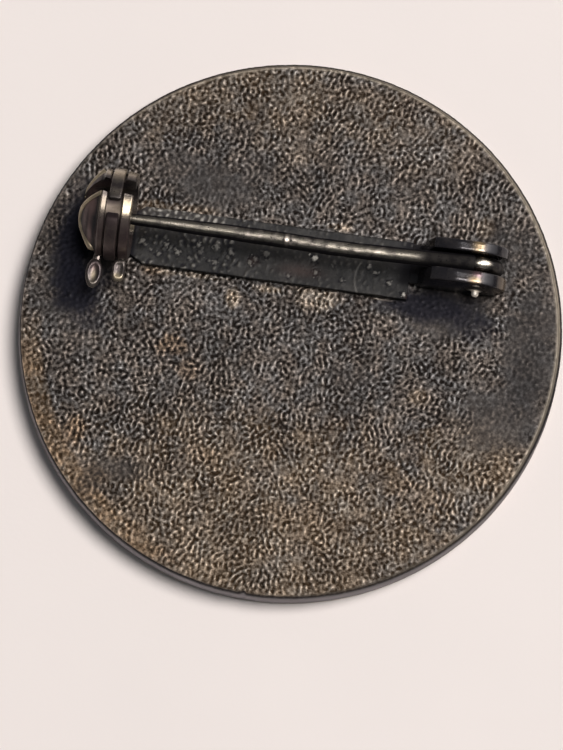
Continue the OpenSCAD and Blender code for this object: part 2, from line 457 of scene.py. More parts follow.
def fitting_finish(name, tarnish, clean, dark, share, roughness, worn, stain_and_sheen_tint=(0.16, 0.07, 0.06),
                   scale=1.4, depth=0.012, metallic=1.0, glint=0.5):
    """Smooth dark metal of the soldered fittings: share is how much of it is dark, depth how deep its relief is."""
    finish, tree, shader, where = new_finish(name)
    metal = add(tree, "ShaderNodeGroup", {"node_tree": tarnish}, Position=where, Clean=(*clean, 1),
                Dark=(*dark, 1), Scale=scale, Share=share)
    # The painted marks: light for wear and painted highlights, dark for dark tarnish and painted shade, and a tint for
    # stains and a pink sheen.
    bright, dark_tarnish_and_shade, stain_and_sheen = painted(tree, "marks")
    colour = mix(tree, dark_tarnish_and_shade, metal.outputs["Colour"], (0.012, 0.011, 0.014, 1))
    colour = mix(tree, bright, colour, (*worn, 1))
    colour = mix(tree, stain_and_sheen, colour, (*stain_and_sheen_tint, 1))
    link(tree, colour, shader, "Base Color")
    rough = scaled(tree, metal.outputs["Mask"], -0.08, roughness + 0.06)
    link(tree, scaled(tree, maths(tree, "POWER", dark_tarnish_and_shade, 3.0), 0.6, rough), shader, "Roughness")
    shader.inputs["Metallic"].default_value = metallic
    shader.inputs["Specular IOR Level"].default_value = glint
    bump(tree, metal.outputs["Height"], depth, shader, 0.7)
    return finish


def enamel_finish():
    """Deep blue fused enamel, polished, with faint clouds and a trace of orange peel."""
    finish, tree, shader, where = new_finish("blue_enamel")
    clouds = stretch(tree, clouds_in(tree, where, 0.35, 4.0), 0.3, 0.7)
    colour = mix(tree, clouds, (0.010, 0.030, 0.150, 1), (0.014, 0.042, 0.190, 1))
    specks = add(tree, "ShaderNodeTexVoronoi", Vector=where, Scale=0.8)
    speck = stretch(tree, specks.outputs["Distance"], 0.02, 0.045)
    link(tree, mix(tree, speck, (0.02, 0.02, 0.03, 1), colour), shader, "Base Color")
    link(tree, scaled(tree, clouds, 0.06, 0.10), shader, "Roughness")
    shader.inputs["Coat Weight"].default_value = 0.6
    shader.inputs["Coat Roughness"].default_value = 0.05
    bump(tree, clouds_in(tree, where, 1.6, 2.0), 0.02, shader, 0.5)
    return finish


def paper_finish():
    """Plain warm white paper, soft and a little fibrous."""
    finish, tree, shader, where = new_finish("paper")
    soft = clouds_in(tree, where, 0.12, 3.0)
    link(tree, mix(tree, soft, (0.80, 0.735, 0.705, 1), (0.84, 0.77, 0.737, 1)), shader, "Base Color")
    shader.inputs["Roughness"].default_value = 0.75
    shader.inputs["Specular IOR Level"].default_value = 0.25
    bump(tree, clouds_in(tree, where, 3.5, 3.0), 0.02, shader, 0.25)
    return finish


# ---------------------------------------------------------------- the struck plate

# Painted patches on the back: x, y, radius across, radius up, strength. Warm is worn gold and brown.
WARM = [
    (0, -11.0, 9.5, 4.8, 0.85), (0.5, -7.2, 10.0, 3.4, 0.35), (-0.5, 10.9, 7.0, 1.5, 0.4), (9.6, -5.2, 2.6, 2.2, 0.75),
    (2.6, -6.1, 2.0, 1.4, 0.5), (-2.2, -5.8, 2.8, 1.2, 0.45), (-3.6, 11.3, 4.2, 1.2, 0.5), (-1.2, 9.1, 1.6, 1.2, 0.35),
    (-7.2, 9.6, 2.2, 1.4, 0.4), (5.2, 9.4, 3.2, 1.6, 0.25), (-6.9, 4.85, 1.0, 0.26, 0.8), (-5.2, 5.0, 1.0, 0.2, 0.7),
    (6.4, -2.5, 0.5, 0.4, 0.7), (8.4, 5.9, 0.4, 0.5, 0.7),
]
# Crumbs of solder and dirt beside the bar, which are warm too
CRUMBS = [
    (-6.1, 1.86, 0.9, 0.13, 0.8), (-4.2, 1.90, 1.2, 0.12, 0.85), (-2.85, 1.10, 0.34, 0.42, 1.0),
    (-1.3, 1.70, 0.65, 0.16, 0.9), (0.8, 1.85, 0.75, 0.13, 0.8), (1.13, 1.46, 0.95, 0.42, 1.0),
    (1.63, 5.03, 0.5, 0.22, 0.9), (4.3, 1.95, 0.8, 0.06, 0.8),
]
SMOOTH = [
    (-4.4, 6.3, 1.6, 1.1, 0.8), (-6.0, 6.8, 1.2, 0.8, 0.6), (11.3, 0.2, 1.4, 3.6, 0.95), (10.2, -3.0, 1.9, 1.5, 0.9),
    (9.6, 5.0, 1.6, 1.2, 0.6), (-6.8, -7.6, 1.6, 0.5, 0.7), (-10.2, 1.9, 1.5, 3.2, 0.95), (7.0, 1.9, 2.3, 1.0, 1.0),
    (6.6, 1.2, 1.6, 0.8, 0.8), (-8.2, -8.6, 0.7, 0.6, 0.5), (3.2, -1.8, 1.1, 0.5, 0.3), (-2.6, 7.4, 0.8, 0.6, 0.4),
    (4.6, 7.2, 1.0, 0.5, 0.25),
]
# Soot and painted shadow: dark patches beside the catch and under the joint, where the fittings cast their shadows on
# the back.
SOOT_AND_SHADOW = [
    (6.2, 1.9, 2.3, 0.75, 0.85), (8.6, 1.2, 1.2, 0.6, 0.5), (-10.5, 2.6, 0.9, 2.4, 0.95), (-10.0, 0.4, 1.1, 1.1, 0.85),
    (-9.3, -0.9, 0.8, 0.6, 0.4), (-8.9, 1.2, 0.6, 0.5, 0.5),
]
RED = [
    (-5.2, -1.5, 0.7, 0.5, 0.7), (-9.3, -6.1, 0.5, 0.6, 0.8), (-4.4, -2.4, 0.5, 0.5, 0.4), (-3.2, -6.4, 0.8, 0.4, 0.3),
    (7.0, -7.0, 1.2, 0.6, 0.3), (-8.0, -8.0, 0.5, 0.4, 0.5), (2.0, -9.0, 1.4, 0.8, 0.25), (-6.9, 1.95, 0.5, 0.3, 0.4),
]

# The edge round the back: share, angle of its middle and width in degrees
# The bright ridge is worn brass with a painted highlight on the side towards the light; the dark corner is painted
# shade.
BRIGHT_RIDGE = [(0.75, -8, 38), (0.6, 50, 40), (0.35, 105, 35), (0.05, 250, 50)]
DARK_CORNER = [(0.95, 160, 45), (1.0, 245, 45), (0.75, -12, 18), (0.3, 60, 30)]
RIDGE_R, NET_R, WORN_FROM = 12.44, 12.42, 11.7

# The front rim and the recess lie below the one height, the back with its ridge above the other
FRONT_Z, BACK_Z = 0.2, 1.3

# The pebbles: how high they stand, how far the back is sunk for them, and how deep hollows and tops then lie
PEBBLE_H, PEBBLE_SINK, HOLLOWS_AT, TOPS_AT = 0.0180, 0.045, 0.068, 0.006


def cover(patches, x, y, ragged):
    """How much of the painted patches covers a place, from 0 to 1, with ragged edges."""
    clear, reach = 1.0, 1.35
    for px, py, wide, high, strength in patches:
        off = hypot((x - px) / wide, (y - py) / high) + ragged
        if off < reach:
            clear *= 1 - strength * ramp(reach - off, 0, 0.7)
    return 1 - clear


def gold_band(x, y):
    """The worn band inside the lower left edge."""
    turn, r = degrees(atan2(y, x)), hypot(x, y)
    return ramp(turn + 178, 0, 14) * ramp(-100 - turn, 0, 16) * ramp(r - 11.45, 0, 0.35)


def pebble_heights(places):
    """Heights of the pebbles, about -2 to 2: round and rod-like grains about 0.24 mm apart, narrow gaps between."""
    cells, step = 640, 0.042
    along = np.fft.fftfreq(cells, step)
    u, v = along[:, None], along[None, :]
    often = np.hypot(u, v)
    lean = 1 + 0.30 * np.cos(2 * (np.arctan2(v, u) - radians(166)))

    def ripples(seed, middle, spread):
        """Waves about so many to the millimetre, with more of them in the direction of the lean."""
        waves = np.fft.fft2(np.random.default_rng(seed).standard_normal((cells, cells)))
        made = np.fft.ifft2(waves * lean * np.exp(-((often - middle) / spread) ** 2)).real
        return made / made.std()

    billows = np.fft.fft2(np.abs(ripples(12, 2.2, 0.6)) ** 0.65)
    billows = np.fft.ifft2(billows * (1 - np.exp(-(often / 2.4) ** 4))).real
    field = ripples(11, 4.0, 1.8) + 0.85 * billows / billows.std()
    field = np.clip(field / field.std(), -2.2, 2.2)
    place = places / step + cells / 2
    corner = np.floor(place).astype(int)
    share = place - corner
    total = 0.0
    for dx in (0, 1):
        for dy in (0, 1):
            weight = (share[:, 0] if dx else 1 - share[:, 0]) * (share[:, 1] if dy else 1 - share[:, 1])
            total = total + weight * field[(corner[:, 0] + dx) % cells, (corner[:, 1] + dy) % cells]
    return total


def hump(turn, middle, wide):
    """1 at an angle of the edge in degrees, falling smoothly to 0 on both sides of it."""
    return exp(-(((turn - middle + 180) % 360 - 180) / wide) ** 2)


def humps(turn, table):
    return sum(share * hump(turn, middle, wide) for share, middle, wide in table)


def edge_marks(turn, r, z):
    """The edge: how bright its ridge is with wear and a painted highlight, how dark its corner is with painted shade,
    and how grey its wall is with a painted reflection of the paper.
    """
    ridge = exp(-((r - RIDGE_R) / 0.06) ** 2) if z > 1.4 else 0.0
    corner = exp(-((z - 1.38) / 0.13) ** 2) if r > RIDGE_R else 0.0
    # The wall is painted pale grey as a reflection of the paper, most of all on the lower left.
    wall = ramp(1.22 - z, 0, 0.2) * (0.25 + 0.7 * hump(turn, 230, 85)) * (1 + 0.35 * uneven(turn * 0.12, z * 2, 3))
    return min(1.0, humps(turn, BRIGHT_RIDGE)) * ridge, min(1.0, humps(turn, DARK_CORNER)) * corner, wall


def edge_growth(turn, x, y, z):
    """How much wider the worn edge is than its true circle: ragged, with one nick, and fuller on the upper right."""
    r = hypot(x, y)
    pull = ramp(r - WORN_FROM, 0, 0.7) * ramp(z - FRONT_Z, 0, 1.0)
    shift = 0.05 + 0.03 * hump(turn, 30, 45) + 0.03 * hump(turn, 250, 50) - 0.04 * hump(turn, 105, 25)
    ragged = 0.012 * blotch(x, y, 1.7, 0) + 0.010 * blotch(x, y, 6, 4)
    nick = 0.10 * exp(-((turn + 91.8) / 0.55) ** 2)
    grow = 1 + pull * (shift + ragged - nick) / r
    if z < 1.46:
        fuller = 0.09 * (hump(turn, 20, 70) + 0.8 * hump(turn, 110, 40))
        grow += fuller * ramp(1.46 - z, 0, 0.16) * ramp(z, 0.3, 1.0) / r
    return grow


def pebbled(x, y, z, lift, bare, band, crumbs):
    """The height of a place on the back: pebbles that come and go, lower where it is bare and along the gold band."""
    lively = max(0.3, 1 + 0.75 * blotch(x, y, 0.85, 12) + 0.65 * blotch(x, y, 2.3, 5))
    deeper = 1 + 0.35 * exp(-((x + 5.5) / 4.5) ** 2 - ((y + 6.5) / 4) ** 2)
    rim = min(1.0, (NET_R - hypot(x, y)) / 0.12 + 0.25)
    depth = PEBBLE_H * lively * deeper * (1 - 0.65 * bare) * (1 - 0.3 * band) * rim
    wave = 0.008 * blotch(x, y, 0.5, 6)
    return z - PEBBLE_SINK + depth * lift + wave + crumbs * (0.03 + 0.025 * lift)


def make_rings_round(plate):
    """The six-sided rings of the plate's net become round."""
    net = places_of(plate)
    turn = np.degrees(np.arctan2(net[:, 1], net[:, 0]))
    first = turn[np.hypot(net[:, 0], net[:, 1]).argmax()]
    off = (turn - first) % 60 - 30
    net[:, :2] *= (np.cos(np.radians(off)) / cos(radians(30)))[:, None]
    plate.data.vertices.foreach_set("co", net.ravel())
    plate.data.update()


def struck_plate(finish):
    """The plate: a fine net for the pebbled back, drawn out over the edge into the front rim and the recess."""
    put_down()
    inner = BACK_R - 0.14
    bpy.ops.mesh.primitive_circle_add(vertices=6, radius=inner, fill_type="TRIFAN", location=(0, 0, PLATE_T))
    plate = take("struck_plate")
    settle()
    edit()
    bpy.ops.mesh.select_all(action="SELECT")
    bpy.ops.mesh.subdivide(number_cuts=11)
    bpy.ops.mesh.subdivide(number_cuts=13)
    leave()
    make_rings_round(plate)
    edit()
    pick_open_edges()
    draw_out([
        (inner, PLATE_T), (12.41, 1.494), (12.45, 1.475), (12.48, 1.44), (12.5, 1.38), (12.515, 1.28), (12.54, 1.1),
        (12.6, 0.75), (12.66, 0.4), (12.69, 0.25), (12.7, 0.13), (12.66, 0.04), (12.57, 0.0), (RECESS_R + 0.06, 0.0),
        (RECESS_R, 0.05), (RECESS_R, RECESS)])
    bpy.ops.mesh.edge_face_add()
    face_outward()

    lifts = pebble_heights(places_of(plate)[:, :2])
    patches = np.zeros((len(lifts), 4), np.float32)
    marks = np.zeros((len(lifts), 4), np.float32)
    patches[:, 3] = marks[:, 3] = 1
    for index, vertex in enumerate(plate.data.vertices):
        x, y, z = vertex.co
        r, turn = hypot(x, y), degrees(atan2(y, x))
        if r > WORN_FROM and z > FRONT_Z:
            marks[index, :3] = edge_marks(turn, r, z)
            grow = edge_growth(turn, x, y, z)
            vertex.co.x, vertex.co.y = x * grow, y * grow
        if z < FRONT_Z:
            marks[index, 0] = 0.45 + 0.5 * blotch(x, y, 0.7, 9)
        if z < BACK_Z:
            continue
        ragged = 0.45 * blotch(x, y, 1.3, 8) + 0.35 * blotch(x, y, 4.5, 1)
        bare, band = cover(SMOOTH, x, y, ragged), gold_band(x, y)
        warm = cover(WARM + CRUMBS, x, y, ragged) * (0.92 + 0.7 * blotch(x, y, 0.8, 21))
        red = max(0.7 * cover(RED, x, y, ragged), 0.55 * band * ramp(ragged, -0.25, 0.15))
        patches[index, :3] = max(warm, band * 0.95), bare, red
        # The soot patches paint the fittings' shadows dark on the back, together with real soot.
        marks[index, 1] = max(marks[index, 1], cover(SOOT_AND_SHADOW, x, y, ragged * 0.5))
        if r < NET_R:
            vertex.co.z = pebbled(x, y, z, lifts[index], bare, band, cover(CRUMBS, x, y, ragged))
    store(plate, "patches", patches)
    store(plate, "marks", marks)
    return hand_in(plate, "badge", finish, "badge_plate", smooth=60)


# ---------------------------------------------------------------- the bar, the joint and the catch's housing

# Lumps and pits on the bar: x, y, radius, height
BAR_LUMPS = [
    (0.70, 3.34, 0.10, 0.06), (0.85, 2.70, 0.09, 0.03), (5.03, 2.24, 0.075, 0.06), (-2.25, 2.80, 0.09, 0.05),
    (-2.02, 2.95, 0.09, 0.05), (-1.54, 3.30, 0.10, 0.02), (-7.39, 3.08, 0.08, 0.03), (-7.2, 2.95, 0.07, 0.02),
    (-6.20, 3.08, 0.09, 0.03), (-6.0, 2.95, 0.07, 0.02), (-5.65, 2.77, 0.10, 0.04), (-5.8, 2.92, 0.07, 0.02),
    (-6.51, 2.57, 0.08, 0.02), (-4.71, 3.25, 0.08, 0.03), (-4.52, 3.14, 0.07, 0.02), (-4.62, 2.92, 0.09, 0.02),
    (-3.90, 3.28, 0.10, 0.03), (-3.86, 2.56, 0.09, 0.02), (-4.15, 2.60, 0.07, 0.02), (-3.17, 3.10, 0.09, 0.03),
    (-3.3, 2.85, 0.07, 0.02), (-6.9, 2.75, 0.06, 0.02), (-5.1, 2.6, 0.06, 0.01), (3.27, 3.30, 0.08, 0.03),
    (3.59, 3.08, 0.08, 0.03), (4.27, 2.69, 0.07, 0.03), (2.1, 2.5, 0.06, 0.01), (-0.4, 2.4, 0.06, 0.01),
    (1.6, 3.1, 0.05, 0.01),
]


def bar_top(p, grain):
    """The bar's top at a place: how far it rises, and how worn, dark and red it is, with painted highlights on its
    lumps and painted shade round them.
    """
    crust = ramp(p.y, 4.26, 4.46) * ramp(-3.5 - p.x, 0, 0.5)
    patchy = (0.3 + 0.7 * ramp(-1.8 - p.x, 0, 1.2)) * ramp(blotch(p.x, p.y, 1.3, 3), -0.25, 0.15)
    crumbly = uneven(p.x * 4.5, p.y * 6, 9)
    rise = 0.012 * blotch(p.x, p.y, 1.1, 2) + 0.006 * blotch(p.x, p.y, 3, 7)
    rise += 0.05 * crust * crumbly + 0.022 * patchy * max(0.0, grain)
    worn = crust * (0.04 + 0.4 * ramp(grain + crumbly, 0.3, 1.5)) + 0.22 * patchy * ramp(grain, 0.8, 1.6)
    dark = max(0.8 * ramp(p.x, 3.9, 4.9) * ramp(p.y, 2.3, 2.8),
               0.85 * ramp(-grain, 0.0, 1.2) * (0.35 + 0.65 * max(patchy, crust)))
    for x, y, r, high in BAR_LUMPS:
        off = hypot(p.x - x, p.y - y) / r
        if off < 3.5:
            off *= 1 + 0.9 * blotch(p.x, p.y, 9, x) + 0.5 * blotch(p.x, p.y, 20, y)
            top, moat = ramp(1.25 - off, 0, 0.5), exp(-((off - 1.8) / 0.5) ** 2)
            rise += high * (top - 0.4 * moat)
            # The lump's top is painted bright, wear and painted highlight together, and its moat is painted dark as
            # shade.
            worn += (1.0 if high > 0.05 else 0.42 if high > 0.02 else 0.2) * top
            dark = max(dark, 0.95 * moat * (1 - top))
    if p.x < 3.6 and 2.05 < p.y < 3.45:
        scratch = abs(hypot(p.x - 4.14, p.y - 2.75) - 1.45)
        worn += 0.18 * max(0.0, 1 - scratch / 0.05)
    dip = 0.07 * ramp(-p.x, 7.2, 7.6) * ramp(1.1 - abs(p.y - PIN_Y), 0, 0.3)
    red = (0.6 * spot(p, 0.1, 2.75, 0.95, 0.30) + 0.7 * spot(p, 5.3, 2.15, 0.16, 0.1)
           + 0.4 * spot(p, -2.1, 2.87, 0.25, 0.2) + 0.06 * crust)
    marks = min(1.0, worn) * ramp(p.x, -7.75, -7.5), max(dark, ramp(-p.x, 7.5, 7.75)), min(1.0, red)
    return rise - 0.012 - dip, marks


def flat_bar(finish):
    """The flat bar, with cut corners and a dip for the sleeve on the left, pitted and crusted with old solder."""
    long, wide, inset = BAR_RIGHT - BAR_LEFT, BAR_HIGH - BAR_LOW, 0.05
    middle = ((BAR_LEFT + BAR_RIGHT) / 2, (BAR_LOW + BAR_HIGH) / 2, 0)
    put_down()
    bpy.ops.mesh.primitive_grid_add(x_subdivisions=264, y_subdivisions=54, size=1,
                                    location=(middle[0], middle[1], PLATE_T + BAR_T))
    bar = take("flat_bar")
    bar.scale = (long - 2 * inset, wide - 2 * inset, 1)
    settle()
    edit()
    for y, out in ((BAR_LOW + 0.45, (-0.48, -0.88, 0)), (BAR_HIGH - 0.45, (-0.6, 0.8, 0))):
        saw_through((BAR_LEFT + inset, y, 0), out, clear_outer=True)
    pick_open_edges()
    for grow, drop in ((0.03, -0.012), (0.018, -0.035), (0.002, -0.1), (0.0, -BAR_T - 0.1)):
        bpy.ops.mesh.extrude_edges_move(TRANSFORM_OT_translate={"value": (0, 0, drop)})
        bpy.ops.transform.resize(value=(1 + 2 * grow / long, 1 + 2 * grow / wide, 1), center_override=middle)
    bpy.ops.mesh.edge_face_add()
    face_outward()
    grains = pebble_heights(places_of(bar)[:, :2] * 0.8 + (3.0, -7.0))
    marks = np.zeros((len(grains), 4), np.float32)
    marks[:, 3] = 1
    for index, vertex in enumerate(bar.data.vertices):
        p = vertex.co
        if p.z > PLATE_T + 0.2:
            rise, marks[index, :3] = bar_top(p, grains[index])
            p.z += rise
        p.y += 0.02 * uneven(p.x * 0.8, 0, 5) * (1 if p.y < BAR_Y else 0.3)
    store(bar, "marks", marks)
    neck = block("neck", ((BAR_LEFT + BAND_X) / 2, PIN_Y, PLATE_T + 0.1), (BAR_LEFT - BAND_X + 0.4, 1.3, 0.38))
    soften(0.07)
    paint(neck, lambda p: (0.0, 0.3, 0.0))
    return hand_in(unite(bar, neck), "badge", finish, "badge_plate")


def ear(side):
    """One ear: a round end cut in half, drawn out to the left along its flat top and down its sloping front."""
    thick = EAR_T + (0.10 if side < 0 else 0.0)
    y = PIN_Y + side * (EAR_GAP + thick) / 2
    piece = rod("ear", 72, EAR_R, thick, (JOINT_X, y, JOINT_Z), "Y")
    edit()
    saw_through((JOINT_X, 0, 0), (-1, 0, 0), clear_outer=True, use_fill=True)
    for step, drop in ((-1.75, 0.0), (-0.4, -0.22), (-0.55, -2.05)):
        pick("FACE", lambda m, n: n.x < -0.5)
        bpy.ops.mesh.extrude_region_move(TRANSFORM_OT_translate={"value": (step, 0, 0)})
        if drop:
            reach = min(v.co.x for v in bmesh.from_edit_mesh(piece.data).verts)
            pick("VERT", lambda m, n: m.x < reach + 0.01 and m.z > 2.0)
            bpy.ops.transform.translate(value=(0, 0, drop))
    leave()
    soften(0.06, 3, 40)
    edit()
    cuts = [((x, y, 0), (1, 0, 0)) for x in (7.4, 7.7, 7.85, 8.0, 8.15, 8.3)]
    cuts += [((0, y + k * thick, 0), (0, 1, 0)) for k in (-0.2, 0.0, 0.2)]
    for place, out in cuts:
        saw_through(place, out)
    leave()
    return piece


def joint_ears(finish):
    """Both ears on their base, soldered on the bar's right end."""
    left, right = BAR_RIGHT - 0.05, JOINT_X + 1
    base = block("joint_ears", ((left + right) / 2, PIN_Y, PLATE_T + 0.15),
                 (right - left, EAR_GAP + 2 * EAR_T - 0.02, 0.5))
    soften(0.08)
    near, far = ear(-1), ear(1)

    def shade(p):
        """Dark, with painted shade on the rounded ends, a painted gold highlight on each ear's top, a painted pink
        highlight beside the near one and a painted highlight on the near ear's end.
        """
        top = ramp(p.z, 4.2, 4.4)
        # The rounded ends are painted darker as shade.
        black = 0.25 + 0.6 * ramp(p.x, 8.32, 8.7) * ramp(9.2 - p.x, 0, 0.2)
        if p.y > PIN_Y:
            return 0.9 * spot(p, 8.2, 4.5, 0.2, 0.3) * top, black, 0.0
        lighter_end = 0.2 * ramp(p.x, 9.2, 9.5) * ramp(p.z, 2.4, 3.0)
        # Painted highlights: a gold spot on the top, a light end, and a pink sheen beside the spot.
        gold = max(lighter_end, 0.9 * spot(p, 8.2, 2.88, 0.2, 0.14) * top)
        return gold, black, 0.8 * spot(p, 8.28, 3.18, 0.18, 0.12) * top

    paint(near, shade)
    paint(far, shade)
    paint(base, lambda p: (0.0, 0.3, 0.0))
    return hand_in(unite(base, near, far), "badge", finish, "badge_plate")


def catch_housing(finish):
    """The housing: a band bent round the sleeve, open at its mouth, on a foot."""
    band = rod("catch_housing", 120, HOUSING_R, HOUSING_W, (BAND_X, PIN_Y, PIN_Z), "X", ends="NOTHING")
    edit()
    pick("FACE", lambda m, n: m.z > PIN_Z and abs(m.y - PIN_Y) < MOUTH_W / 2 - 0.02)
    bpy.ops.mesh.delete(type="FACE")
    leave()
    apply("SOLIDIFY", thickness=HOUSING_T, offset=-1, use_even_offset=True)
    soften(0.075, 4, 50)
    foot = block("foot", (BAND_X, PIN_Y, PLATE_T + 0.22), (HOUSING_W, 1.3, 0.64))
    soften(0.06)

    def shade(p):
        """A painted reflection on its upper side, painted shade beside the mouth, above it and on its lower side, and
        pink towards the foot.
        """
        worn = 0.45 * ramp(p.y, 5.0, 5.5) * ramp(p.z, 4.2, 4.8)
        below = 0.65 * ramp(PIN_Y - 0.1 - p.y, 0, 0.5)
        above = 0.55 * ramp(p.y, 4.5, 4.8) * ramp(5.6 - p.y, 0, 0.3)
        mouth = 0.72 * ramp(0.62 - abs(p.y - PIN_Y), 0, 0.12)
        return worn, below + above + mouth, 0.25 * ramp(PIN_Y - p.y, 0, 0.6)

    paint(band, shade)
    paint(foot, lambda p: (0.0, 0.5, 0.0))
    return hand_in(unite(band, foot), "badge", finish, "badge_plate")


# ---------------------------------------------------------------- the pin, its rivet and the turning sleeve

def joint_rivet(finish):
    """The rivet: a shank with two low heads, the near one with a small bright button."""
    half = EAR_GAP / 2 + EAR_T
    near_head = [(0.0, 0.48), (0.08, 0.47), (0.135, 0.43), (0.165, 0.37), (0.17, 0.30), (0.17, 0.24), (0.17, 0.20),
                 (0.38, 0.17), (0.46, 0.15), (0.50, 0.11), (0.52, 0.0), (0.38, 0.0)]
    far_head = [(0.38, 0.0), (0.52, 0.0), (0.46, 0.08), (0.3, 0.1), (0.0, 0.1)]
    profile = [(r, half + h) for r, h in near_head] + [(r, -half - h) for r, h in far_head]
    rivet = turned("rivet", profile, 40, "Y", (JOINT_X, PIN_Y, JOINT_Z))

    def shade(p):
        # The button is painted bright as a painted highlight, the rest dark.
        on_button = hypot(p.x - JOINT_X, p.z - JOINT_Z) < 0.26 and p.y < PIN_Y - half - 0.2
        return 1.0 if on_button else 0.0, 0.8, 0.0

    paint(rivet, shade)
    return hand_in(rivet, "badge", finish, "joint_rivet")


def pin_wire(finish, loop_finish):
    """The pin: a stem drawn out to its point, with the slight waves of bent wire, and the loop round the rivet."""
    bright_x = -0.6
    even = {x / 7 for x in range(-21, 50)} | {bright_x + 0.035 * k for k in range(-7, 8)}
    stations = [(JOINT_X + 0.2, 0.0), (JOINT_X, 0.36), (JOINT_X - 0.4, 0.38)]
    stations += [(x, WIRE_R + 0.004) for x in sorted(even, reverse=True)]
    stations += [(-3.6, 0.352), (-4.6, 0.335), (-5.6, 0.315), (-6.6, 0.293), (-7.6, 0.27), (-8.06, 0.255),
                 (-8.9, 0.15), (-9.5, 0.075), (-9.66, 0.05), (-9.7, 0.0)]
    stem = turned("pin", [(r, x) for x, r in stations], 32, "X", (0, PIN_Y, PIN_Z))

    def bend(p):
        """A slow bow, slow waves and small swellings, none of them near the joint or the point."""
        k = ramp(7 - p.x, 0, 3) * ramp(p.x + 9.5, 0, 3)
        r = Vector((0, p.y - PIN_Y, p.z - PIN_Z))
        lumps = 0.05 * uneven(p.x * 1.6, r.y * 2, r.z * 2) + 0.035 * noise.noise(p * 5) + 0.03 * noise.noise(p * 9)
        swell = 1 + k * lumps
        p.y, p.z = PIN_Y + r.y * swell, PIN_Z + r.z * swell
        bow = 0.10 * ramp(7.8 - p.x, 0, 4)
        p.y += 0.03 * k * uneven(p.x * 0.45, 0, 2) - bow - 0.06 * ramp(5 - abs(p.x - 1.5), 0, 5)
        return p

    def shade_and_marks(p):
        """Painted shade on the flanks, flecks of painted highlight on top, one bright spot in a dark ring, and darker
        towards the joint.
        """
        across, up = p.y - PIN_Y, p.z - PIN_Z
        out = max(hypot(across, up), 0.01)
        # Painted shade on both flanks.
        flank = 0.97 * ramp((0.93 if across > 0 else 0.90) - up / out, 0, 0.2)
        flank *= 1 - 0.55 * ramp((PIN_Z - p.z) / out, 0.0, 0.5)
        ring = 0.8 * exp(-((abs(p.x - bright_x) - 0.15) / 0.07) ** 2)
        # Flecks of painted highlight along the top.
        highlight_flecks = 0.3 * ramp(uneven(p.x * 4, p.y * 7, 3), 0.1, 0.4) * ramp(4.5 - p.x, 0, 1)
        highlight_flecks *= ramp(p.z, PIN_Z + 0.25, PIN_Z + 0.34)
        bright = spot(p, bright_x, PIN_Y, 0.08, 0.16) * ramp(p.z, PIN_Z, PIN_Z + 0.2)
        return max(highlight_flecks, bright), max(flank, ring, 0.88 * ramp(p.x, 5.1, 5.8)), 0.0

    paint(stem, shade_and_marks)
    reshape(stem, bend)
    put_down()
    bpy.ops.mesh.primitive_torus_add(major_radius=LOOP_R, minor_radius=0.385, major_segments=72, minor_segments=28,
                                     location=(JOINT_X, PIN_Y, JOINT_Z), rotation=LYING["Y"])
    loop = take("loop")
    settle()
    # The loop: a painted highlight on its top, painted shade round it.
    paint(loop, lambda p: (spot(p, 8.55, PIN_Y, 0.25, 1.0) * ramp(p.z, 4.1, 4.3),
                           0.75 - 0.75 * spot(p, 8.5, PIN_Y, 0.4, 1.0), 0.0))
    hand_in(loop, "pin", loop_finish, "pin_wire", smooth=60)
    return hand_in(stem, "pin", finish, "pin_wire", smooth=60)


def bead(name, path, radius):
    """A thin rolled edge along a path of (place, share of the radius), its corners cut once to round them."""
    pairs = list(zip(path, path[1:]))
    near = [(a.lerp(b, 0.25), r * 0.75 + s * 0.25) for (a, r), (b, s) in pairs]
    far = [(a.lerp(b, 0.75), r * 0.25 + s * 0.75) for (a, r), (b, s) in pairs]
    path = path[:1] + [place for both in zip(near, far) for place in both] + path[-1:]
    data = bpy.data.curves.new(name, "CURVE")
    data.dimensions = "3D"
    data.bevel_depth, data.bevel_resolution = 1.0, 3
    data.use_fill_caps = True
    line = data.splines.new("POLY")
    line.points.add(len(path) - 1)
    for point, (place, size) in zip(line.points, path):
        point.co = (*place, 1)
        point.radius = radius * size
    thing = bpy.data.objects.new(name, data)
    bpy.context.scene.collection.objects.link(thing)
    hold(thing)
    bpy.ops.object.convert(target="MESH")
    return bpy.context.object


def thumb_tab(x, reach, wide, length, square, root, dish):
    """A thumb tab: a strip from the sleeve's flange at root that ends in a dished leaf."""
    middle = PIN_Y - reach + length / 2
    put_down()
    bpy.ops.mesh.primitive_uv_sphere_add(segments=48, ring_count=24, radius=1, location=(0, 0, 0))
    leaf = take("tab")

    def press(p):
        flat = hypot(p.x, p.y)
        if flat > 1e-6:
            c, s = abs(p.x / flat), abs(p.y / flat)
            corner = (c ** square + s ** square) ** (-1 / square)
            p.x, p.y = p.x * corner, p.y * corner
        hollow = max(0.0, 1 - (flat / 0.66) ** 3) if p.z > 0 else 0.0
        return Vector((x + p.x * wide / 2, middle + p.y * length / 2, PIN_Z + p.z * 0.16 - dish * hollow))

    reshape(leaf, press)
    high, low = PIN_Y - 1.6, middle + length * 0.32
    strip = block("strip", ((x + root) / 2, (high + low) / 2, PIN_Z - 0.04), (0.34, high - low, 0.2))
    reshape(strip, lambda p: Vector((p.x + (root - x) / 2 * (1 if p.y > (high + low) / 2 else -1), p.y, p.z)))
    soften(0.07)
    return unite(leaf, strip)


def dome_bulge(k):
    """How far the domed end stands out where its radius is k of the whole."""
    return DOME_L * (1 - k ** DOME_POWER)


def on_dome(along, turn, lift=0.0):
    """A place on the domed end: along from 0 at the flange to 1 at the tip, turned from straight up towards -Y."""
    k = 1 - along
    r = DOME_R * k + lift
    x = BAND_X - GROOVE - LEFT_FLANGE - dome_bulge(k)
    return Vector((x - lift * 0.5, PIN_Y - r * sin(turn), PIN_Z + r * cos(turn)))


def seen_from_end(r, turn):
    """A place in the view along the sleeve, turned from straight up towards -Y."""
    return Vector((r * sin(turn), r * cos(turn)))


